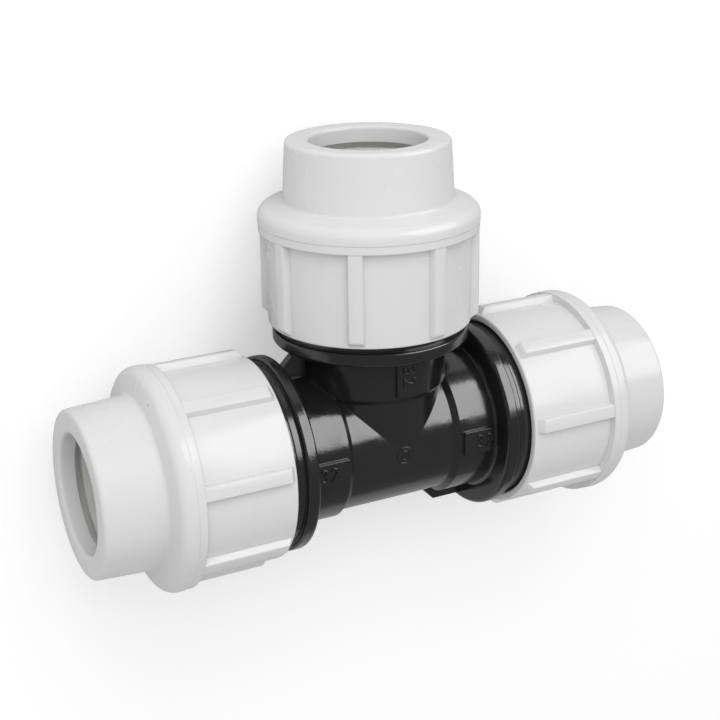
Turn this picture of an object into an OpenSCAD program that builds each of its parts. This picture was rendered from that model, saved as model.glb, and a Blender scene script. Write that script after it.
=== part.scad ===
// Compression tee for plastic water pipe, three equal ports.
// It lies flat as it comes to rest: the run along X, the branch along +Y, +Z up.
// Each port is drawn along its own axis, with z = 0 where the three axes meet,
// and the angle 0 around that axis points up.

/* [Pipe] */
// Outside diameter of the pipe that each port takes
pipe_d = 32; // [30:0.5:33]
// Gap all round between the pipe and the bores it passes
pipe_clear = 0.4; // [0.2:0.05:0.6]
// Diameter of the waterway inside the body
waterway_d = 27; // [20:0.5:29]

/* [Body] */
// Diameter of the plain tubes where the three ports meet
tube_d = 40; // [37:0.5:41]
// Diameter of the thicker sleeve behind each collar ring
sleeve_d = 42.6; // [41.5:0.2:46]
// Distance from the centre to the inner end of a sleeve
sleeve_start = 17.6; // [14:0.2:21]
// Length of the slope that leads from tube to sleeve
sleeve_slope = 1.6; // [0.4:0.1:2.5]
// Distance from the centre to the inner face of a collar ring
ring_start = 29.6; // [27:0.2:32]
// Thickness of a collar ring
ring_w = 3.7; // [2.5:0.1:4.5]
// Diameter of a collar ring
ring_d = 55.4; // [54:0.2:58]
// Rounding of a collar ring's rim
ring_round = 1.1; // [0.3:0.1:1.2]
// Fillet between a sleeve and its collar ring
ring_fillet = 1; // [0.2:0.1:1.5]
// Distance from the centre to the mouth of the threaded end
mouth_at = 60; // [57:0.5:62]
// Distance from the centre to the shoulder that stops the pipe
pipe_stop = 28; // [24:0.5:32]
// Length of the plain land that a nut's open end slides on
land_w = 5.6; // [4:0.1:7]
// Distance from the collar ring to the fine step in the land
land_line = 2; // [1:0.1:3]
// Depth of that fine step
land_step = 0.2; // [0.1:0.05:0.3]

/* [Gussets and pads] */
// Thickness of the gusset in each crotch of the tee
gusset_t = 2.6; // [1.5:0.1:5]
// Width of the slanted outer edge of a gusset
gusset_edge = 8.5; // [4:0.5:11]
// Length of the raised pad that carries the pipe size
pad_l = 9.6; // [6:0.2:11]
// Height of that pad across the tube
pad_w = 7; // [4:0.5:10]
// How far the pad stands out of the sleeve
pad_h = 0.9; // [0.5:0.1:1.5]
// Width of the lug under the right sleeve
lug_w = 5; // [3:0.5:8]
// How far the lug stands out of the sleeve
lug_h = 3.7; // [2:0.1:5]
// Slope of the lug's free end
lug_slope = 3.4; // [1:0.2:5]

/* [Threaded ends] */
// Diameter of the threaded end under its thread
thread_root_d = 49; // [47.5:0.1:50]
// Height of the thread that the land and the nut's bore leave room for
thread_h = 1.5; // [1:0.1:1.7]
// Gap all round between the body and a nut
thread_clear = 0.3; // [0.2:0.05:0.4]

/* [Nut] */
// Length of a nut
nut_l = 51.4; // [50:0.2:56]
// Length of the ribbed skirt, up to the flange
skirt_l = 26.5; // [25:0.5:30]
// Diameter of the skirt between its ribs
skirt_d = 57.4; // [56.6:0.2:59]
// Diameter of the flange that a nut rests on
flange_d = 62; // [60:0.5:68]
// Width of the band above the flange's underside
band_w = 2.2; // [1:0.1:3]
// Depth of the fine step that sets the band off
band_step = 0.15; // [0.05:0.05:0.3]
// Radius of the rounded shoulder
shoulder_r = 6.2; // [4:0.2:6.4]
// Diameter of the collar where it leaves the shoulder
collar_base_d = 48; // [47:0.2:49]
// Diameter of the collar near its mouth
collar_end_d = 46.5; // [45:0.2:47]
// Rounding of the collar's outer edge
collar_round = 2; // [0.5:0.1:2.4]
// Length of the lip that guides the pipe
lip_l = 4.7; // [3:0.1:5.4]
// Diameter of the nut's inner cone at its wide end
cone_wide_d = 48; // [47.4:0.2:48.4]
// Diameter of the nut's inner cone at its narrow end
cone_narrow_d = 38.6; // [37.6:0.2:39.6]
// Distance from the open end to the wide end of the cone
cone_start = 27.4; // [26.6:0.2:28.4]
// Number of grip ribs on the skirt
rib_count = 8; // [6:1:12]
// Width of a rib at its top
rib_w = 3.9; // [2:0.1:5]
// Extra width of a rib at its foot
rib_draft = 0.7; // [0:0.1:1.5]
// Distance from the open end to the foot of a rib's slope
rib_gap = 1.6; // [1:0.2:5]
// Length of the slope at a rib's end
rib_slope = 1.8; // [0.6:0.2:4]

/* [How far each nut is screwed on] */
// Distance from the centre to the open end of the left nut
nut_left_at = 36.9; // [35.3:0.1:38]
// Distance from the centre to the open end of the right nut
nut_right_at = 37.8; // [35.3:0.1:38]
// Distance from the centre to the open end of the branch nut
nut_branch_at = 35.3; // [35.3:0.1:38]
// Angle of the left nut's ribs
nut_left_turn = 12.3; // [0:0.1:45]
// Angle of the right nut's ribs
nut_right_turn = 37.5; // [0:0.1:45]
// Angle of the branch nut's ribs
nut_branch_turn = 10; // [0:0.1:45]

/* [Seal, bush and grip ring] */
// Thickness of the sealing ring
seal_t = 4.5; // [4:0.1:4.7]
// Length of the seal's seat inside the mouth
seal_seat_l = 12; // [10:0.5:14]
// Gap between parts that rest against each other
seat_clear = 0.2; // [0.1:0.05:0.3]
// Diameter of the flange of the thrust bush
bush_flange_d = 46.6; // [45.4:0.2:47]
// Thickness of that flange
bush_flange_t = 2.5; // [1.5:0.1:2.5]
// Gap between the grip ring's narrow end and the end of the nut's cone
grip_end_gap = 1.4; // [0.6:0.1:4]
// Width of the slot that lets the grip ring close
grip_slot = 4.5; // [2:0.5:8]
// Distance from one grip tooth to the next
tooth_pitch = 1.9; // [1.4:0.1:3]
// Depth of a grip tooth
tooth_h = 0.9; // [0.4:0.1:1.2]
// Gap between the grip ring and the nut's cone
grip_clear = 0.3; // [0.2:0.05:0.4]

/* [Hidden] */
$fn = 96;
bore_r = pipe_d / 2 + pipe_clear;
tube_r = tube_d / 2;
sleeve_r = sleeve_d / 2;
ring_r = ring_d / 2;
ring_end = ring_start + ring_w;
flange_r = flange_d / 2;
skirt_r = skirt_d / 2;
rib_r = flange_r - band_step;
root_r = thread_root_d / 2;
land_r = root_r + thread_h;
nut_bore_r = land_r + thread_clear;
land_end = ring_end + land_w;
seal_seat_at = mouth_at - seal_seat_l;
seal_at = seal_seat_at + seat_clear + seal_t / 2;
seal_mid_r = bore_r + seal_t / 2;
seal_seat_r = seal_mid_r + seal_t / 2 + seat_clear;
bush_nose_at = seal_at + seal_t / 2 + seat_clear;
bush_flange_at = mouth_at + seat_clear;
bush_bore_r = bore_r + 0.1;
bush_nose_r = seal_seat_r - seat_clear;
mouth_chamfer = 0.8;
edge = 0.5;
cone_end = nut_l - lip_l - edge;
cone_wide_r = cone_wide_d / 2;
cone_narrow_r = cone_narrow_d / 2;
cone_rate = (cone_wide_r - cone_narrow_r) / (cone_end - cone_start);
grip_start = cone_start + 0.4;
grip_l = cone_end - grip_start - grip_end_gap;
grip_root_r = bore_r + tooth_h;
left_reach = nut_left_at + nut_l;
right_reach = nut_right_at + nut_l;
branch_reach = nut_branch_at + nut_l;
axes_at = [(left_reach - right_reach) / 2, (flange_r - branch_reach) / 2, flange_r];

// Points of an arc round [x, y], from angle a to angle b.
function arc(x, y, r, a, b, steps = 6) =
    [for (i = [0 : steps]) [x + r * cos(a + (b - a) * i / steps), y + r * sin(a + (b - a) * i / steps)]];

// Outside of a port as [radius, distance from the centre], from the centre to the mouth.
function port_outline() = concat(
    [[tube_r, 0], [tube_r, sleeve_start - sleeve_slope], [sleeve_r, sleeve_start]],
    arc(sleeve_r + ring_fillet, ring_start - ring_fillet, ring_fillet, 180, 90),
    arc(ring_r - ring_round, ring_start + ring_round, ring_round, -90, 0),
    arc(ring_r - ring_round / 2, ring_end - ring_round / 2, ring_round / 2, 0, 90),
    [[land_r + land_step, ring_end], [land_r + land_step, ring_end + land_line],
     [land_r, ring_end + land_line + land_step], [land_r, land_end], [root_r, land_end + thread_h],
     [root_r, mouth_at - mouth_chamfer], [root_r - mouth_chamfer, mouth_at], [0, mouth_at]]);

// The same points on the far side of the centre, in reverse order.
function mirrored(points) = [for (i = [len(points) - 1 : -1 : 0]) [points[i][0], -points[i][1]]];

// Stands a port's parts on its axis: 0 for the right port, 90 the branch, 180 the left.
module port(side) {
    translate(axes_at)
        rotate([0, 0, side])
            rotate([0, 90, 0])
                rotate([0, 0, 180])
                    children();
}

// The stepped bore of a port: waterway, pipe socket and the seal's seat.
module port_bore() {
    rotate_extrude()
        polygon([[0, pipe_stop], [bore_r, pipe_stop], [bore_r, seal_seat_at], [seal_seat_r, seal_seat_at],
                 [seal_seat_r, mouth_at - edge], [seal_seat_r + edge, mouth_at], [seal_seat_r + edge, mouth_at + 1],
                 [0, mouth_at + 1]]);
    translate([0, 0, -1])
        cylinder(h = pipe_stop + 2, d = waterway_d);
}

// Raised pad for the pipe size, on the upper side of a sleeve.
module pad() {
    translate([0, -pad_w / 2, sleeve_start + 0.8])
        cube([sleeve_r + pad_h, pad_w, pad_l]);
}

// Lug on the side of the sleeve that faces away from the branch, with a sloped free end.
module lug() {
    rotate([0, 0, 90])
        rotate([90, 0, 0])
            linear_extrude(lug_w, center = true)
                polygon([[0, sleeve_start - sleeve_slope], [sleeve_r, sleeve_start - sleeve_slope],
                         [sleeve_r + lug_h, sleeve_start - sleeve_slope + lug_slope],
                         [sleeve_r + lug_h, ring_start + ring_w / 2], [0, ring_start + ring_w / 2]]);
}

// Flat gusset between the collar rings of the run (side 1 or -1) and the branch.
module gusset(side) {
    far = ring_start + ring_w / 2;
    cut = gusset_edge / sqrt(2);
    corner = ring_start;
    translate(axes_at)
        linear_extrude(gusset_t, center = true)
            polygon([[side * tube_r / 2, tube_r / 2], [side * far, tube_r / 2], [side * far, corner - cut],
                     [side * corner, corner - cut], [side * (corner - cut), corner], [side * (corner - cut), far],
                     [side * tube_r / 2, far]]);
}

module tee_body() {
    outline = port_outline();
    color([0.07, 0.07, 0.08])
        difference() {
            union() {
                port(0)
                    rotate_extrude()
                        polygon(concat(mirrored(outline), outline));
                port(90)
                    rotate_extrude()
                        polygon(concat([[0, 0]], outline));
                for (side = [0, 90, 180])
                    port(side)
                        pad();
                for (side = [-1, 1])
                    gusset(side);
                port(0)
                    lug();
            }
            for (side = [0, 90, 180])
                port(side)
                    port_bore();
        }
}

// Outside of a nut, as [radius, height above its open end].
function nut_outline() = concat(
    [[0, 0]],
    arc(skirt_r - edge, edge, edge, -90, 0, 4),
    [[skirt_r, skirt_l], [rib_r, skirt_l], [rib_r, skirt_l + band_w], [flange_r, skirt_l + band_w + band_step]],
    arc(flange_r - shoulder_r, cone_start + 4, shoulder_r, 0, 84, 10),
    [[collar_base_d / 2, cone_start + 4 + shoulder_r + edge]],
    arc(collar_end_d / 2 - collar_round, nut_l - collar_round, collar_round, 0, 90),
    [[0, nut_l]]);

// Hollow of a nut: bore that clears the thread, cone for the grip ring, recess and guiding lip.
function nut_hollow() = [
    [0, -1], [nut_bore_r + edge, -1], [nut_bore_r + edge, 0], [nut_bore_r, edge],
    [nut_bore_r, cone_start - 3], [cone_wide_r, cone_start - 1], [cone_wide_r, cone_start],
    [cone_narrow_r, cone_end], [cone_narrow_r, cone_end + edge], [bore_r, cone_end + edge],
    [bore_r, nut_l - edge], [bore_r + edge, nut_l], [bore_r + edge, nut_l + 1], [0, nut_l + 1]];

// One grip rib, sloped at the open end and with drafted sides.
module nut_rib() {
    inner = skirt_r - 1;
    intersection() {
        linear_extrude(skirt_l + 1)
            polygon([[inner, -rib_w / 2 - rib_draft / 2], [rib_r, -rib_w / 2],
                     [rib_r, rib_w / 2], [inner, rib_w / 2 + rib_draft / 2]]);
        rotate([90, 0, 0])
            linear_extrude(rib_w + rib_draft + 2, center = true)
                polygon([[inner - 1, rib_gap], [skirt_r, rib_gap], [rib_r + 0.01, rib_gap + rib_slope],
                         [rib_r + 0.01, skirt_l + 1], [inner - 1, skirt_l + 1]]);
    }
}

module nut(at, turn) {
    color([0.86, 0.86, 0.85])
        translate([0, 0, at])
            rotate([0, 0, turn])
                difference() {
                    union() {
                        rotate_extrude()
                            polygon(nut_outline());
                        for (i = [0 : rib_count - 1])
                            rotate([0, 0, i * 360 / rib_count])
                                nut_rib();
                    }
                    rotate_extrude()
                        polygon(nut_hollow());
                }
}

// Split cone with inner teeth that bites into the pipe; at is its nut's open end.
module grip_ring(at, turn) {
    teeth = floor((grip_l - 2) / tooth_pitch);
    wide_r = cone_wide_r - grip_clear - cone_rate * (grip_start - cone_start);
    color([0.93, 0.93, 0.91])
        translate([0, 0, at + grip_start])
            rotate([0, 0, turn])
                difference() {
                    rotate_extrude()
                        polygon(concat(
                            [[grip_root_r, 0], [wide_r - edge, 0], [wide_r, edge],
                             [wide_r - cone_rate * grip_l, grip_l], [bore_r, grip_l]],
                            [for (i = [teeth : -1 : 1]) each [[bore_r, i * tooth_pitch + 0.2],
                                                              [grip_root_r, i * tooth_pitch - 0.3]]]));
                    translate([0, -grip_slot / 2, -1])
                        cube([cone_wide_r + 1, grip_slot, grip_l + 2]);
                }
}

// Bush that the grip ring pushes on, so that its nose squeezes the seal.
module thrust_bush() {
    color([0.16, 0.16, 0.17])
        rotate_extrude()
            polygon([[bush_bore_r, bush_nose_at], [bush_nose_r - edge, bush_nose_at],
                     [bush_nose_r, bush_nose_at + edge], [bush_nose_r, bush_flange_at],
                     [bush_flange_d / 2, bush_flange_at], [bush_flange_d / 2, bush_flange_at + bush_flange_t],
                     [bush_bore_r + edge, bush_flange_at + bush_flange_t],
                     [bush_bore_r, bush_flange_at + bush_flange_t - edge]]);
}

module seal_ring() {
    color([0.05, 0.05, 0.05])
        translate([0, 0, seal_at])
            rotate_extrude()
                translate([seal_mid_r, 0])
                    circle(d = seal_t - 0.1);
}

tee_body();
port(180) nut(nut_left_at, nut_left_turn);  // nut_left
port(0) nut(nut_right_at, nut_right_turn);  // nut_right
port(90) nut(nut_branch_at, nut_branch_turn);  // nut_branch
port(180) grip_ring(nut_left_at, nut_left_turn);  // grip_ring_left
port(0) grip_ring(nut_right_at, nut_right_turn);  // grip_ring_right
port(90) grip_ring(nut_branch_at, nut_branch_turn);  // grip_ring_branch
port(180) thrust_bush();  // thrust_bush_left
port(0) thrust_bush();  // thrust_bush_right
port(90) thrust_bush();  // thrust_bush_branch
port(180) seal_ring();  // seal_ring_left
port(0) seal_ring();  // seal_ring_right
port(90) seal_ring();  // seal_ring_branch
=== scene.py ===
import math

import bpy
from mathutils import Matrix, Vector


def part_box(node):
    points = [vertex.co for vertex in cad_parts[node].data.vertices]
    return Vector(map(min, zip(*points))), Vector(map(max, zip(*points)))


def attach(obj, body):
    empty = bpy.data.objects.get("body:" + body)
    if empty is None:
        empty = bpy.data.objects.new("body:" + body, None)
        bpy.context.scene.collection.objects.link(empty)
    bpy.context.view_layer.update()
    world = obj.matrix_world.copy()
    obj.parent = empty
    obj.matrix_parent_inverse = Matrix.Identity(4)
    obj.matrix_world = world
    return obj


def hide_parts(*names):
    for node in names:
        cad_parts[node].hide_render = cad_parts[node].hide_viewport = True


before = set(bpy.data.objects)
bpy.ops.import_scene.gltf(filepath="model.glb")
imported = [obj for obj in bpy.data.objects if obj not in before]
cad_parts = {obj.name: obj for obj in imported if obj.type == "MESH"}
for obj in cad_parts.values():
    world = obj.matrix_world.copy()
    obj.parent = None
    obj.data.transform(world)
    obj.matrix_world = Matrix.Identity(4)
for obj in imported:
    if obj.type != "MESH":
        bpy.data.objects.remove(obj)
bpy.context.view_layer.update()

# Camera.
# The three port axes cross in one point of the body, and the camera is set out from there.
# It looks down on the lying tee with a long lens, a little from the left and from the branch's end.
MM = 0.001
MOUTH_AT = 60
CAMERA_TURN = math.radians(-26.618)
CAMERA_TILT = math.radians(16.831)
CAMERA_ROLL = math.radians(-1.069)
CAMERA_DISTANCE = 396.344
AIM = Vector((-10.561, 48.884, 0))
SENSOR_WIDTH = 36
FOCAL_PIXELS = 1426.5
PICTURE = 720
PICTURE_CENTRE = (335.72, 275.17)

body_low, body_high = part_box("tee_body")
flange_low, flange_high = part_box("nut_left")
axes_cross = Vector((body_low[0] + MOUTH_AT * MM, (flange_low[1] + flange_high[1]) / 2,
                     (flange_low[2] + flange_high[2]) / 2))


def looking_from(turn, tilt, roll=0.0):
    return (Matrix.Translation(axes_cross) @ Matrix.Rotation(turn, 4, "Y") @ Matrix.Rotation(-tilt, 4, "X")
            @ Matrix.Rotation(roll, 4, "Z"))


camera_data = bpy.data.cameras.new("camera")
camera_data.sensor_width = SENSOR_WIDTH
camera_data.lens = FOCAL_PIXELS * SENSOR_WIDTH / PICTURE
camera_data.shift_x = (PICTURE / 2 - PICTURE_CENTRE[0]) / PICTURE
camera_data.shift_y = (PICTURE_CENTRE[1] - PICTURE / 2) / PICTURE
camera_data.clip_start = 0.01
camera = bpy.data.objects.new("camera", camera_data)
bpy.context.collection.objects.link(camera)
camera.matrix_world = (Matrix.Translation(AIM * MM)
                       @ looking_from(CAMERA_TURN, CAMERA_TILT, CAMERA_ROLL)
                       @ Matrix.Translation((0, 0, CAMERA_DISTANCE * MM)))
bpy.context.scene.camera = camera

# Floor.
# One large sheet of white paper that the tee lies on. The camera sees it near white, and it keeps
# the tee's soft shadow.
FLOOR_SIZE = 6
PAPER_WHITE = 0.7
PAPER_GLOW = 0.42
bpy.ops.object.select_all(action="DESELECT")
bpy.ops.mesh.primitive_plane_add(size=FLOOR_SIZE, location=(0, 0, 0))
floor = bpy.context.object
floor.name = "floor"
floor_paint = bpy.data.materials.new("floor_paper")
floor_paint.use_nodes = True
nodes, links = floor_paint.node_tree.nodes, floor_paint.node_tree.links
paper = nodes["Principled BSDF"]
paper.inputs["Base Color"].default_value = (PAPER_WHITE, PAPER_WHITE, PAPER_WHITE, 1)
paper.inputs["Roughness"].default_value = 0.9
paper.inputs["Specular IOR Level"].default_value = 0.1
rays = nodes.new("ShaderNodeLightPath")
glow = nodes.new("ShaderNodeEmission")
glow.inputs["Strength"].default_value = PAPER_GLOW
unlit = nodes.new("ShaderNodeEmission")
unlit.inputs["Strength"].default_value = 0
seen = nodes.new("ShaderNodeMixShader")
both = nodes.new("ShaderNodeAddShader")
links.new(rays.outputs["Is Camera Ray"], seen.inputs["Fac"])
links.new(unlit.outputs[0], seen.inputs[1])
links.new(glow.outputs[0], seen.inputs[2])
links.new(paper.outputs[0], both.inputs[0])
links.new(seen.outputs[0], both.inputs[1])
links.new(both.outputs[0], nodes["Material Output"].inputs["Surface"])
floor.data.materials.append(floor_paint)

# Studio light.
# A big overhead light from the branch's end lights everything softly. A softbox at the camera's
# right and a white table before the run are what the glossy plastic reflects.
WORLD_LIGHT = 0.62
WORLD_REFLECTED = 0.2
TABLE_AT = Vector((0.02, -0.1, 0.42))


def studio_lamp(name, turn, tilt, distance, width, height, radiance, lights, reflects):
    lamp = bpy.data.lights.new(name, "AREA")
    lamp.shape = "RECTANGLE"
    lamp.size = width
    lamp.size_y = height
    lamp.energy = radiance * math.pi * width * height
    stand = bpy.data.objects.new(name, lamp)
    bpy.context.collection.objects.link(stand)
    stand.matrix_world = (looking_from(math.radians(turn), math.radians(tilt))
                          @ Matrix.Translation((0, 0, distance)))
    stand.visible_camera = False
    stand.visible_diffuse = lights
    stand.visible_glossy = reflects
    return stand


studio_lamp("overhead_light", turn=-14, tilt=46, distance=1.0, width=0.8, height=0.8, radiance=2.35,
            lights=True, reflects=False)
studio_lamp("softbox", turn=45, tilt=33, distance=0.9, width=0.86, height=0.72, radiance=4.7,
            lights=False, reflects=True)
table = studio_lamp("table_glow", turn=0, tilt=0, distance=0, width=0.9, height=0.9, radiance=0.42,
                    lights=False, reflects=True)
table.matrix_world = (Matrix.Translation(axes_cross + TABLE_AT)
                      @ Matrix.Rotation(math.radians(-90), 4, "X"))

world = bpy.data.worlds.new("studio")
bpy.context.scene.world = world
world.use_nodes = True
nodes, links = world.node_tree.nodes, world.node_tree.links
rays = nodes.new("ShaderNodeLightPath")
in_gloss = nodes.new("ShaderNodeMix")
in_gloss.inputs["A"].default_value = WORLD_LIGHT
in_gloss.inputs["B"].default_value = WORLD_REFLECTED
in_view = nodes.new("ShaderNodeMix")
in_view.inputs["B"].default_value = 1
links.new(rays.outputs["Is Glossy Ray"], in_gloss.inputs["Factor"])
links.new(in_gloss.outputs["Result"], in_view.inputs["A"])
links.new(rays.outputs["Is Camera Ray"], in_view.inputs["Factor"])
links.new(in_view.outputs["Result"], nodes["Background"].inputs["Strength"])
nodes["Background"].inputs["Color"].default_value = (1, 1, 1, 1)
bpy.context.scene.view_settings.view_transform = "Standard"

# Moulded plastic.
# Every piece is injection moulded, so all share one finish with its own values: stray specks, a
# slightly wavy skin, a fine grain, and gloss that varies a little from place to place.
specks = bpy.data.node_groups.new("specks", "ShaderNodeTree")
for name, kind, value in [("Base", "NodeSocketColor", (0.5, 0.5, 0.5, 1)),
                          ("Speck", "NodeSocketColor", (0.1, 0.1, 0.1, 1)),
                          ("Spacing", "NodeSocketFloat", 200), ("Size", "NodeSocketFloat", 0.05),
                          ("Share", "NodeSocketFloat", 0.1), ("Cloud", "NodeSocketFloat", 0.02)]:
    specks.interface.new_socket(name, in_out="INPUT", socket_type=kind).default_value = value
specks.interface.new_socket("Color", in_out="OUTPUT", socket_type="NodeSocketColor")


def maths(nodes, operation, second=0.5):
    node = nodes.new("ShaderNodeMath")
    node.operation = operation
    node.inputs[1].default_value = second
    return node


nodes, links = specks.nodes, specks.links
given, made = nodes.new("NodeGroupInput"), nodes.new("NodeGroupOutput")
place = nodes.new("ShaderNodeTexCoord")
cells = nodes.new("ShaderNodeTexVoronoi")
near = maths(nodes, "LESS_THAN")
lot = nodes.new("ShaderNodeSeparateColor")
drawn = maths(nodes, "LESS_THAN")
speck = maths(nodes, "MULTIPLY")
cloud = nodes.new("ShaderNodeTexNoise")
cloud.inputs["Scale"].default_value = 45
cloud.inputs["Detail"].default_value = 3
centred = maths(nodes, "SUBTRACT")
depth = maths(nodes, "MULTIPLY")
shift = maths(nodes, "ADD", 1)
tinted = nodes.new("ShaderNodeVectorMath")
tinted.operation = "SCALE"
mix = nodes.new("ShaderNodeMix")
mix.data_type = "RGBA"
links.new(place.outputs["Object"], cells.inputs["Vector"])
links.new(given.outputs["Spacing"], cells.inputs["Scale"])
links.new(cells.outputs["Distance"], near.inputs[0])
links.new(given.outputs["Size"], near.inputs[1])
links.new(cells.outputs["Color"], lot.inputs[0])
links.new(lot.outputs[0], drawn.inputs[0])
links.new(given.outputs["Share"], drawn.inputs[1])
links.new(near.outputs[0], speck.inputs[0])
links.new(drawn.outputs[0], speck.inputs[1])
links.new(place.outputs["Object"], cloud.inputs["Vector"])
links.new(cloud.outputs["Fac"], centred.inputs[0])
links.new(centred.outputs[0], depth.inputs[0])
links.new(given.outputs["Cloud"], depth.inputs[1])
links.new(depth.outputs[0], shift.inputs[0])
links.new(given.outputs["Base"], tinted.inputs[0])
links.new(shift.outputs[0], tinted.inputs["Scale"])
links.new(speck.outputs[0], mix.inputs["Factor"])
links.new(tinted.outputs[0], mix.inputs[6])
links.new(given.outputs["Speck"], mix.inputs[7])
links.new(mix.outputs[2], made.inputs["Color"])

skin = bpy.data.node_groups.new("moulded_skin", "ShaderNodeTree")
for name, value in [("Wave", 120), ("Grain", 1500), ("Grain Share", 0.2), ("Gloss", 0.2), ("Dull", 0.3)]:
    skin.interface.new_socket(name, in_out="INPUT", socket_type="NodeSocketFloat").default_value = value
for name in ("Height", "Roughness"):
    skin.interface.new_socket(name, in_out="OUTPUT", socket_type="NodeSocketFloat")
nodes, links = skin.nodes, skin.links
given, made = nodes.new("NodeGroupInput"), nodes.new("NodeGroupOutput")
place = nodes.new("ShaderNodeTexCoord")
wave = nodes.new("ShaderNodeTexNoise")
wave.inputs["Detail"].default_value = 1
grain = nodes.new("ShaderNodeTexNoise")
grain.inputs["Detail"].default_value = 3
height = nodes.new("ShaderNodeMix")
patch = nodes.new("ShaderNodeMapRange")
patch.inputs["From Min"].default_value = 0.35
patch.inputs["From Max"].default_value = 0.7
links.new(place.outputs["Object"], wave.inputs["Vector"])
links.new(place.outputs["Object"], grain.inputs["Vector"])
links.new(given.outputs["Wave"], wave.inputs["Scale"])
links.new(given.outputs["Grain"], grain.inputs["Scale"])
links.new(given.outputs["Grain Share"], height.inputs["Factor"])
links.new(wave.outputs["Fac"], height.inputs["A"])
links.new(grain.outputs["Fac"], height.inputs["B"])
links.new(height.outputs["Result"], made.inputs["Height"])
links.new(height.outputs["Result"], patch.inputs["Value"])
links.new(given.outputs["Gloss"], patch.inputs["To Min"])
links.new(given.outputs["Dull"], patch.inputs["To Max"])
links.new(patch.outputs["Result"], made.inputs["Roughness"])


def group_with(nodes, group, values):
    node = nodes.new("ShaderNodeGroup")
    node.node_tree = group
    for socket, value in values.items():
        node.inputs[socket].default_value = value
    return node


def moulded_plastic(name, specular, relief, paint_values, skin_values, edge=0.0):
    material = bpy.data.materials.new(name)
    material.use_nodes = True
    nodes, links = material.node_tree.nodes, material.node_tree.links
    shader = nodes["Principled BSDF"]
    shader.inputs["Specular IOR Level"].default_value = specular
    paint = group_with(nodes, specks, paint_values)
    surface = group_with(nodes, skin, skin_values)
    bump = nodes.new("ShaderNodeBump")
    bump.inputs["Distance"].default_value = relief
    links.new(paint.outputs["Color"], shader.inputs["Base Color"])
    links.new(surface.outputs["Roughness"], shader.inputs["Roughness"])
    links.new(surface.outputs["Height"], bump.inputs["Height"])
    links.new(bump.outputs["Normal"], shader.inputs["Normal"])
    if edge:
        rounding = nodes.new("ShaderNodeBevel")
        rounding.samples = 6
        rounding.inputs["Radius"].default_value = edge
        links.new(rounding.outputs["Normal"], bump.inputs["Normal"])
    return material


def finish_node(node, material):
    for slot in bpy.data.objects[node].material_slots:
        slot.material = material


# Tee body.
# One glossy black polypropylene moulding with three threaded ends. Fine pale dust lies on it, and
# its corners are a little rounded, as a mould leaves them.
black_plastic = moulded_plastic(
    "black_plastic", specular=0.85, relief=0.00007, edge=0.0003,
    paint_values={"Base": (0.013, 0.013, 0.014, 1), "Speck": (0.4, 0.4, 0.4, 1), "Spacing": 700,
                  "Size": 0.09, "Share": 0.014, "Cloud": 0.3},
    skin_values={"Wave": 190, "Grain": 1700, "Grain Share": 0.3, "Gloss": 0.1, "Dull": 0.24})
finish_node("tee_body", black_plastic)

# Threads on the body.
# A right-hand ridge with a 5 mm pitch is moulded round each end. One is modelled and copied to the
# ports, each turned so that its nut's own ridge runs half a pitch away from it.
PITCH = 5
STEPS_PER_TURN = 64
RUN_OUT_TURNS = 0.125
RUN_OUT_LEFT = 0.02
BODY_RIDGE = {"foot": 24.3, "top": 26, "foot_width": 2.6, "top_width": 1.1, "start": 41.5, "turns": 3.3}
NUT_RIDGE = {"foot": 26.5, "top": 24.85, "foot_width": 2.3, "top_width": 1.2, "start": 6.5, "turns": 3}
PORT_TURN = {"right": 0, "branch": 90, "left": 180}
NUT_AT = {"right": 37.8, "branch": 35.3, "left": 36.9}
NUT_TURN = {"right": 37.5, "branch": 10, "left": 12.3}


def port_place(side, distance=0.0, turn=0.0):
    return (Matrix.Translation(axes_cross) @ Matrix.Rotation(math.radians(PORT_TURN[side]), 4, "Z")
            @ Matrix.Rotation(math.radians(90), 4, "Y")
            @ Matrix.Rotation(math.radians(180 + turn), 4, "Z") @ Matrix.Translation((0, 0, distance * MM)))


def select_only(piece):
    bpy.ops.object.select_all(action="DESELECT")
    piece.select_set(True)
    bpy.context.view_layer.objects.active = piece


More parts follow.
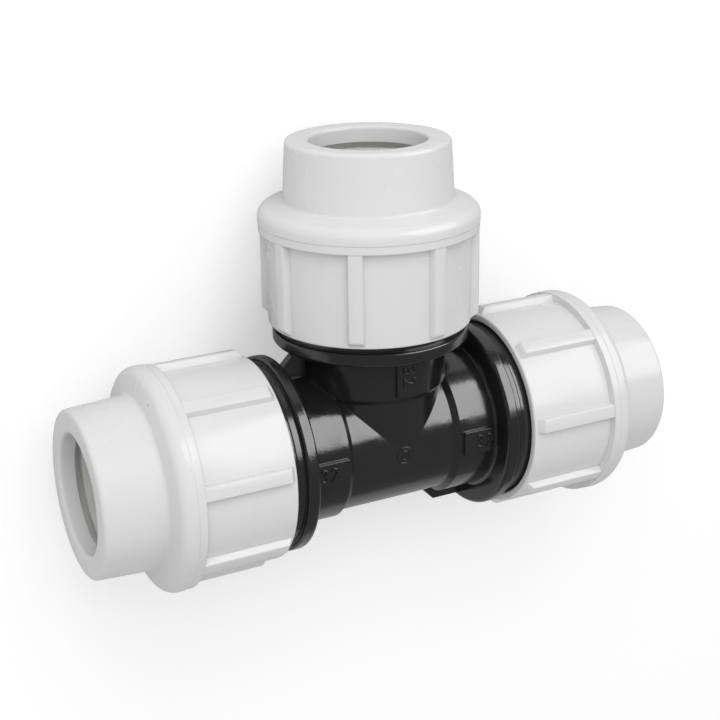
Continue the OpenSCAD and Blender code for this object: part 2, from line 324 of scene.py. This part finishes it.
def thread_ridge(name, size):
    foot, top, turns = size["foot"] * MM, size["top"] * MM, size["turns"]
    bpy.ops.object.select_all(action="DESELECT")
    bpy.ops.mesh.primitive_plane_add(size=1, rotation=(math.radians(90), 0, 0))
    ridge = bpy.context.object
    ridge.name = name
    ridge.scale = (abs(top - foot), size["foot_width"] * MM, 1)
    bpy.ops.object.transform_apply(location=True, rotation=True, scale=True)
    for vertex in ridge.data.vertices:
        at_top = (vertex.co.x > 0) == (top > foot)
        vertex.co.x = top if at_top else foot
        if at_top:
            vertex.co.z *= size["top_width"] / size["foot_width"]
        vertex.co.z += size["start"] * MM
    bpy.ops.object.mode_set(mode="EDIT")
    bpy.ops.mesh.select_all(action="SELECT")
    bpy.ops.mesh.delete(type="ONLY_FACE")
    bpy.ops.object.mode_set(mode="OBJECT")
    screw = ridge.modifiers.new("thread", "SCREW")
    screw.angle = math.radians(360 * turns)
    screw.screw_offset = PITCH * turns * MM
    screw.steps = screw.render_steps = round(STEPS_PER_TURN * turns)
    screw.axis = "Z"
    bpy.ops.object.modifier_apply(modifier="thread")
    for vertex in ridge.data.vertices:
        along = (vertex.co.z - size["start"] * MM) / (PITCH * turns * MM)
        radius = math.hypot(vertex.co.x, vertex.co.y)
        fade = min(1, max(0, RUN_OUT_LEFT + min(along, 1 - along) * turns / RUN_OUT_TURNS))
        scale = (foot + (radius - foot) * fade) / radius
        vertex.co.x *= scale
        vertex.co.y *= scale
    bpy.ops.object.mode_set(mode="EDIT")
    bpy.ops.mesh.select_all(action="SELECT")
    bpy.ops.mesh.fill_holes(sides=0)
    bpy.ops.mesh.select_all(action="SELECT")
    bpy.ops.mesh.normals_make_consistent(inside=False)
    bpy.ops.object.mode_set(mode="OBJECT")
    bpy.ops.object.shade_smooth_by_angle(angle=math.radians(30))
    return ridge


def copy_of(piece, name):
    copy = bpy.data.objects.new(name, piece.data.copy())
    bpy.context.collection.objects.link(copy)
    return copy


def dress(piece, material, body):
    piece.data.materials.clear()
    piece.data.materials.append(material)
    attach(piece, body)


body_ridge = thread_ridge("body_ridge", BODY_RIDGE)
for side in PORT_TURN:
    lead = (BODY_RIDGE["start"] - NUT_AT[side] - NUT_RIDGE["start"]) / PITCH
    ridge = copy_of(body_ridge, "thread_" + side)
    ridge.data.transform(port_place(side, turn=NUT_TURN[side] + 360 * lead - 180))
    dress(ridge, black_plastic, "tee")
bpy.data.objects.remove(body_ridge)

# Size numbers on the body.
# The pipe size stands out of a flat pad beside each collar ring. The run's numbers read along the
# run, and the branch's number is turned a quarter.
PAD_TOP = 22.2
NUMBER_SIZE = 5.4
NUMBER_SPACING = 1.15
NUMBER_DEPTH = 0.22
NUMBER_ROUND = 0.1
NUMBER_THINNER = 0.04
NUMBER_LIFT = 0.08
NUMBER_AT = {"right": 25.0, "branch": 24.2, "left": 24.4}
for side in PORT_TURN:
    bpy.ops.object.select_all(action="DESELECT")
    bpy.ops.object.text_add(location=(0, 0, 0))
    number = bpy.context.object
    number.name = "size_number_" + side
    number.data.body = "32"
    number.data.size = NUMBER_SIZE * MM
    number.data.align_x = "CENTER"
    number.data.align_y = "CENTER"
    number.data.space_character = NUMBER_SPACING
    number.data.extrude = NUMBER_DEPTH * MM
    number.data.bevel_depth = NUMBER_ROUND * MM
    number.data.offset = -NUMBER_THINNER * MM
    number.data.resolution_u = 6
    bpy.ops.object.convert(target="MESH")
    along = Matrix.Rotation(math.radians(PORT_TURN[side]), 3, "Z") @ Vector((NUMBER_AT[side] * MM, 0, 0))
    above = Vector((0, 0, (PAD_TOP + NUMBER_LIFT) * MM))
    turn = math.radians(-90 if side == "branch" else 0)
    number.data.transform(Matrix.Translation(axes_cross + along + above) @ Matrix.Rotation(turn, 4, "Z"))
    dress(number, black_plastic, "tee")

# Date dial on the body.
# A small round insert in the mould leaves a raised ring, an arrow and marks for the months, just
# below the point where the branch meets the run. It follows the curve of the tube.
TUBE_RADIUS = 20
DIAL_RADIUS = 2.35
DIAL_RELIEF = 0.18
INNER_RING_RADIUS = 1.25
INNER_RING_RELIEF = 0.12
MONTHS = 12
MONTH_MARK_AT = 1.8
MONTH_MARK = (0.5, 0.16, 0.2)
ARROW_TURN = math.radians(62)
ARROW_SHAFT = (1.5, 0.24, 0.24)
ARROW_HEAD_AT = 0.62
ARROW_HEAD_RADIUS = 0.5
bpy.ops.object.select_all(action="DESELECT")
bpy.ops.mesh.primitive_torus_add(major_radius=DIAL_RADIUS * MM, minor_radius=DIAL_RELIEF * MM,
                                 major_segments=64, minor_segments=10)
dial_parts = [bpy.context.object]
bpy.ops.mesh.primitive_torus_add(major_radius=INNER_RING_RADIUS * MM, minor_radius=INNER_RING_RELIEF * MM,
                                 major_segments=48, minor_segments=8)
dial_parts.append(bpy.context.object)
for month in range(MONTHS):
    angle = math.tau * month / MONTHS
    bpy.ops.mesh.primitive_cube_add(size=1, rotation=(0, 0, angle), location=(
        MONTH_MARK_AT * MM * math.cos(angle), MONTH_MARK_AT * MM * math.sin(angle), 0))
    bpy.context.object.scale = Vector(MONTH_MARK) * MM
    dial_parts.append(bpy.context.object)
bpy.ops.mesh.primitive_cube_add(size=1, rotation=(0, 0, ARROW_TURN))
bpy.context.object.scale = Vector(ARROW_SHAFT) * MM
dial_parts.append(bpy.context.object)
bpy.ops.mesh.primitive_cylinder_add(
    vertices=3, radius=ARROW_HEAD_RADIUS * MM, depth=ARROW_SHAFT[2] * MM,
    location=(ARROW_HEAD_AT * MM * math.cos(ARROW_TURN), ARROW_HEAD_AT * MM * math.sin(ARROW_TURN), 0),
    rotation=(0, 0, ARROW_TURN - math.radians(90)))
dial_parts.append(bpy.context.object)
bpy.ops.object.select_all(action="DESELECT")
for part in dial_parts:
    part.select_set(True)
bpy.context.view_layer.objects.active = dial_parts[0]
bpy.ops.object.join()
dial = bpy.context.object
dial.name = "date_dial"
bpy.ops.object.transform_apply(location=True, rotation=True, scale=True)
bpy.ops.object.shade_smooth_by_angle(angle=math.radians(40))
for vertex in dial.data.vertices:
    vertex.co.z += math.sqrt((TUBE_RADIUS * MM) ** 2 - vertex.co.y ** 2)
dial.data.transform(Matrix.Translation(axes_cross))
dress(dial, black_plastic, "tee")

# Flash on the body.
# The plastic has crept a little into the mould's joint, and left a rough bead in the crease where
# the sleeves of the run and of the branch meet. One bead is modelled, and the rest mirror it.
SLEEVE_RADIUS = 21.3
SLEEVE_START = 17.6
BEAD_RADIUS = 0.26
BEAD_SUNK = 0.02
BEAD_STEPS = 46
BEAD_THICKNESS = 0.72
BEAD_UNEVENNESS = 0.28
bead_line = bpy.data.curves.new("flash", "CURVE")
bead_line.dimensions = "3D"
bead_line.bevel_depth = BEAD_RADIUS * MM
bead_line.bevel_resolution = 2
bead_line.use_fill_caps = True
strand = bead_line.splines.new("POLY")
strand.points.add(BEAD_STEPS)
for step in range(BEAD_STEPS + 1):
    eased = 1 - (1 - step / BEAD_STEPS) ** 2
    reach = SLEEVE_START + (SLEEVE_RADIUS - BEAD_SUNK - SLEEVE_START) * eased
    up = math.sqrt(SLEEVE_RADIUS ** 2 - reach ** 2)
    strand.points[step].co = (reach * MM, reach * MM, up * MM, 1)
    strand.points[step].radius = (BEAD_THICKNESS
                                  + BEAD_UNEVENNESS * math.sin(2.3 * step) * math.sin(0.9 * step + 1))
bead = bpy.data.objects.new("flash_bead", bead_line)
bpy.context.collection.objects.link(bead)
select_only(bead)
bpy.ops.object.convert(target="MESH")
bead = bpy.context.object
bpy.ops.object.shade_smooth()
for name, flip in (("flash_right", (1, 1, 1)), ("flash_left", (-1, 1, 1)),
                   ("flash_right_under", (1, 1, -1)), ("flash_left_under", (-1, 1, -1))):
    flash = copy_of(bead, name)
    flash.data.transform(Matrix.Translation(axes_cross) @ Matrix.Diagonal((*flip, 1)))
    if flip[0] * flip[2] < 0:
        flash.data.flip_normals()
    dress(flash, black_plastic, "tee")
bpy.data.objects.remove(bead)

# Nuts.
# Three light grey polypropylene screw caps, glossy from the mould, with a few dark specks in them.
# The wall is spun from one outline, and eight drafted ribs are joined to its skirt.
grey_plastic = moulded_plastic(
    "grey_plastic", specular=0.3, relief=0.00005, edge=0.0004,
    paint_values={"Base": (0.78, 0.78, 0.78, 1), "Speck": (0.1, 0.1, 0.1, 1), "Spacing": 240,
                  "Size": 0.07, "Share": 0.03, "Cloud": 0.03},
    skin_values={"Wave": 110, "Grain": 1400, "Grain Share": 0.12, "Gloss": 0.16, "Dull": 0.3})
NUT_LENGTH = 51.4
EDGE = 0.5
SKIRT_RADIUS = 28.7
SKIRT_LENGTH = 26.5
BAND_RADIUS = 30.85
BAND_END = 28.7
BAND_STEP = 0.15
FLANGE_RADIUS = 31
SHOULDER_AT = 30.3
SHOULDER_ROUND = 3.1
COLLAR_AT = 34.2
COLLAR_FOOT = 1.2
COLLAR_RADIUS = 23.8
MOUTH_RADIUS = 23
MOUTH_ROUND = 1.2
LIP_RADIUS = 16.4
LIP_ROUND = 1
CONE_WIDE_RADIUS = 24
CONE_WIDE_AT = 27.4
CONE_NARROW_RADIUS = 19.3
CONE_NARROW_AT = 46.2
THREAD_BORE = 26.3
RIBS = 8
RIB_RADIUS = 30.7
RIB_WIDTH = 3.9
RIB_DRAFT = 0.4
RIB_END = 0.8
RIB_SLOPE = 1.4
RIB_ROUND = 0.35
RIB_SUNK = 1


def arc(across, along, radius, start, end, steps=6):
    angles = [math.radians(start + (end - start) * step / steps) for step in range(steps + 1)]
    return [(across + radius * math.cos(angle), along + radius * math.sin(angle)) for angle in angles]


def spun(name, outline, steps=160):
    bpy.ops.object.select_all(action="DESELECT")
    bpy.ops.mesh.primitive_circle_add(vertices=len(outline))
    piece = bpy.context.object
    piece.name = name
    for vertex, (radius, height) in zip(piece.data.vertices, outline):
        vertex.co = (radius * MM, 0, height * MM)
    bpy.ops.object.mode_set(mode="EDIT")
    bpy.ops.mesh.select_all(action="SELECT")
    bpy.ops.mesh.spin(steps=steps, angle=math.tau, center=(0, 0, 0), axis=(0, 0, 1))
    bpy.ops.mesh.select_all(action="SELECT")
    bpy.ops.mesh.remove_doubles(threshold=0.01 * MM)
    bpy.ops.mesh.normals_make_consistent(inside=False)
    bpy.ops.object.mode_set(mode="OBJECT")
    return piece


nut_wall = spun("nut_wall", (
    [(THREAD_BORE + EDGE, 0)] + arc(SKIRT_RADIUS - EDGE, EDGE, EDGE, -90, 0, 4)
    + [(SKIRT_RADIUS, SKIRT_LENGTH), (BAND_RADIUS, SKIRT_LENGTH), (BAND_RADIUS, BAND_END),
       (FLANGE_RADIUS, BAND_END + BAND_STEP)]
    + arc(FLANGE_RADIUS - SHOULDER_ROUND, SHOULDER_AT, SHOULDER_ROUND, 0, 74, 10)
    + arc(COLLAR_RADIUS + COLLAR_FOOT, COLLAR_AT + COLLAR_FOOT, COLLAR_FOOT, 260, 180)
    + arc(MOUTH_RADIUS - MOUTH_ROUND, NUT_LENGTH - MOUTH_ROUND, MOUTH_ROUND, 0, 90)
    + arc(LIP_RADIUS + LIP_ROUND, NUT_LENGTH - LIP_ROUND, LIP_ROUND, 90, 180)
    + [(LIP_RADIUS, CONE_NARROW_AT + EDGE), (CONE_NARROW_RADIUS, CONE_NARROW_AT + EDGE),
       (CONE_NARROW_RADIUS, CONE_NARROW_AT), (CONE_WIDE_RADIUS, CONE_WIDE_AT),
       (CONE_WIDE_RADIUS, CONE_WIDE_AT - 1), (THREAD_BORE, CONE_WIDE_AT - 3), (THREAD_BORE, EDGE)]))

bpy.ops.object.select_all(action="DESELECT")
bpy.ops.mesh.primitive_cube_add(size=2)
rib = bpy.context.object
for vertex in rib.data.vertices:
    outward, across, upward = vertex.co
    radius = RIB_RADIUS if outward > 0 else SKIRT_RADIUS - RIB_SUNK
    half_width = RIB_WIDTH / 2 if outward > 0 else RIB_WIDTH / 2 + RIB_DRAFT
    slope_at = RIB_END + RIB_SLOPE * (radius - SKIRT_RADIUS) / (RIB_RADIUS - SKIRT_RADIUS)
    height = SKIRT_LENGTH + RIB_SUNK if upward > 0 else slope_at
    vertex.co = (radius * MM, across * half_width * MM, height * MM)
rounding = rib.modifiers.new("rounding", "BEVEL")
rounding.width = RIB_ROUND * MM
rounding.segments = 2
bpy.ops.object.modifier_apply(modifier="rounding")
bpy.ops.object.select_all(action="DESELECT")
for place in range(RIBS):
    ribs = copy_of(rib, "ribs")
    ribs.data.transform(Matrix.Rotation(math.tau * place / RIBS, 4, "Z"))
    ribs.select_set(True)
bpy.context.view_layer.objects.active = ribs
bpy.ops.object.join()

select_only(nut_wall)
union = nut_wall.modifiers.new("union", "BOOLEAN")
union.operation = "UNION"
union.solver = "EXACT"
union.object = ribs
bpy.ops.object.modifier_apply(modifier="union")
bpy.ops.object.shade_smooth_by_angle(angle=math.radians(30))
for side in PORT_TURN:
    nut = copy_of(nut_wall, "ribbed_nut_" + side)
    nut.data.transform(port_place(side, NUT_AT[side], NUT_TURN[side]))
    dress(nut, grey_plastic, "nut_" + side)
    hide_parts("nut_" + side)
for pattern in (rib, ribs, nut_wall):
    bpy.data.objects.remove(pattern)

# Threads in the nuts.
# Each nut has the matching ridge in its bore, moulded in one with it from the same grey plastic.
# It stands half a pitch from the body's ridge.
nut_ridge = thread_ridge("nut_ridge", NUT_RIDGE)
for side in PORT_TURN:
    ridge = copy_of(nut_ridge, "nut_thread_" + side)
    ridge.data.transform(port_place(side, NUT_AT[side], NUT_TURN[side]))
    dress(ridge, grey_plastic, "nut_" + side)
bpy.data.objects.remove(nut_ridge)

# Grip rings.
# A split cone of hard white plastic sits in each nut, and its inner teeth bite into the pipe.
# The solids keep their own shape here and get a smooth, duller finish.
white_plastic = moulded_plastic(
    "white_plastic", specular=0.4, relief=0.00004,
    paint_values={"Base": (0.8, 0.8, 0.77, 1), "Speck": (0.6, 0.6, 0.58, 1), "Spacing": 500,
                  "Size": 0.05, "Share": 0.02, "Cloud": 0.04},
    skin_values={"Wave": 120, "Grain": 1200, "Grain Share": 0.3, "Gloss": 0.3, "Dull": 0.45})
for side in PORT_TURN:
    finish_node("grip_ring_" + side, white_plastic)

# Thrust bushes and seals.
# A black bush passes the grip ring's push on to a rubber ring, which seals on the pipe.
# Both keep the solids' own shape, one in smooth plastic and the other in dull rubber.
bush_plastic = moulded_plastic(
    "bush_plastic", specular=0.5, relief=0.00004,
    paint_values={"Base": (0.02, 0.02, 0.021, 1), "Speck": (0.12, 0.12, 0.12, 1), "Spacing": 500,
                  "Size": 0.05, "Share": 0.02, "Cloud": 0.2},
    skin_values={"Wave": 120, "Grain": 1200, "Grain Share": 0.3, "Gloss": 0.3, "Dull": 0.45})
seal_rubber = moulded_plastic(
    "seal_rubber", specular=0.5, relief=0.00003,
    paint_values={"Base": (0.012, 0.012, 0.012, 1), "Speck": (0.06, 0.06, 0.06, 1), "Spacing": 900,
                  "Size": 0.1, "Share": 0.05, "Cloud": 0.3},
    skin_values={"Wave": 400, "Grain": 2500, "Grain Share": 0.5, "Gloss": 0.4, "Dull": 0.6})
for side in PORT_TURN:
    finish_node("thrust_bush_" + side, bush_plastic)
    finish_node("seal_ring_" + side, seal_rubber)
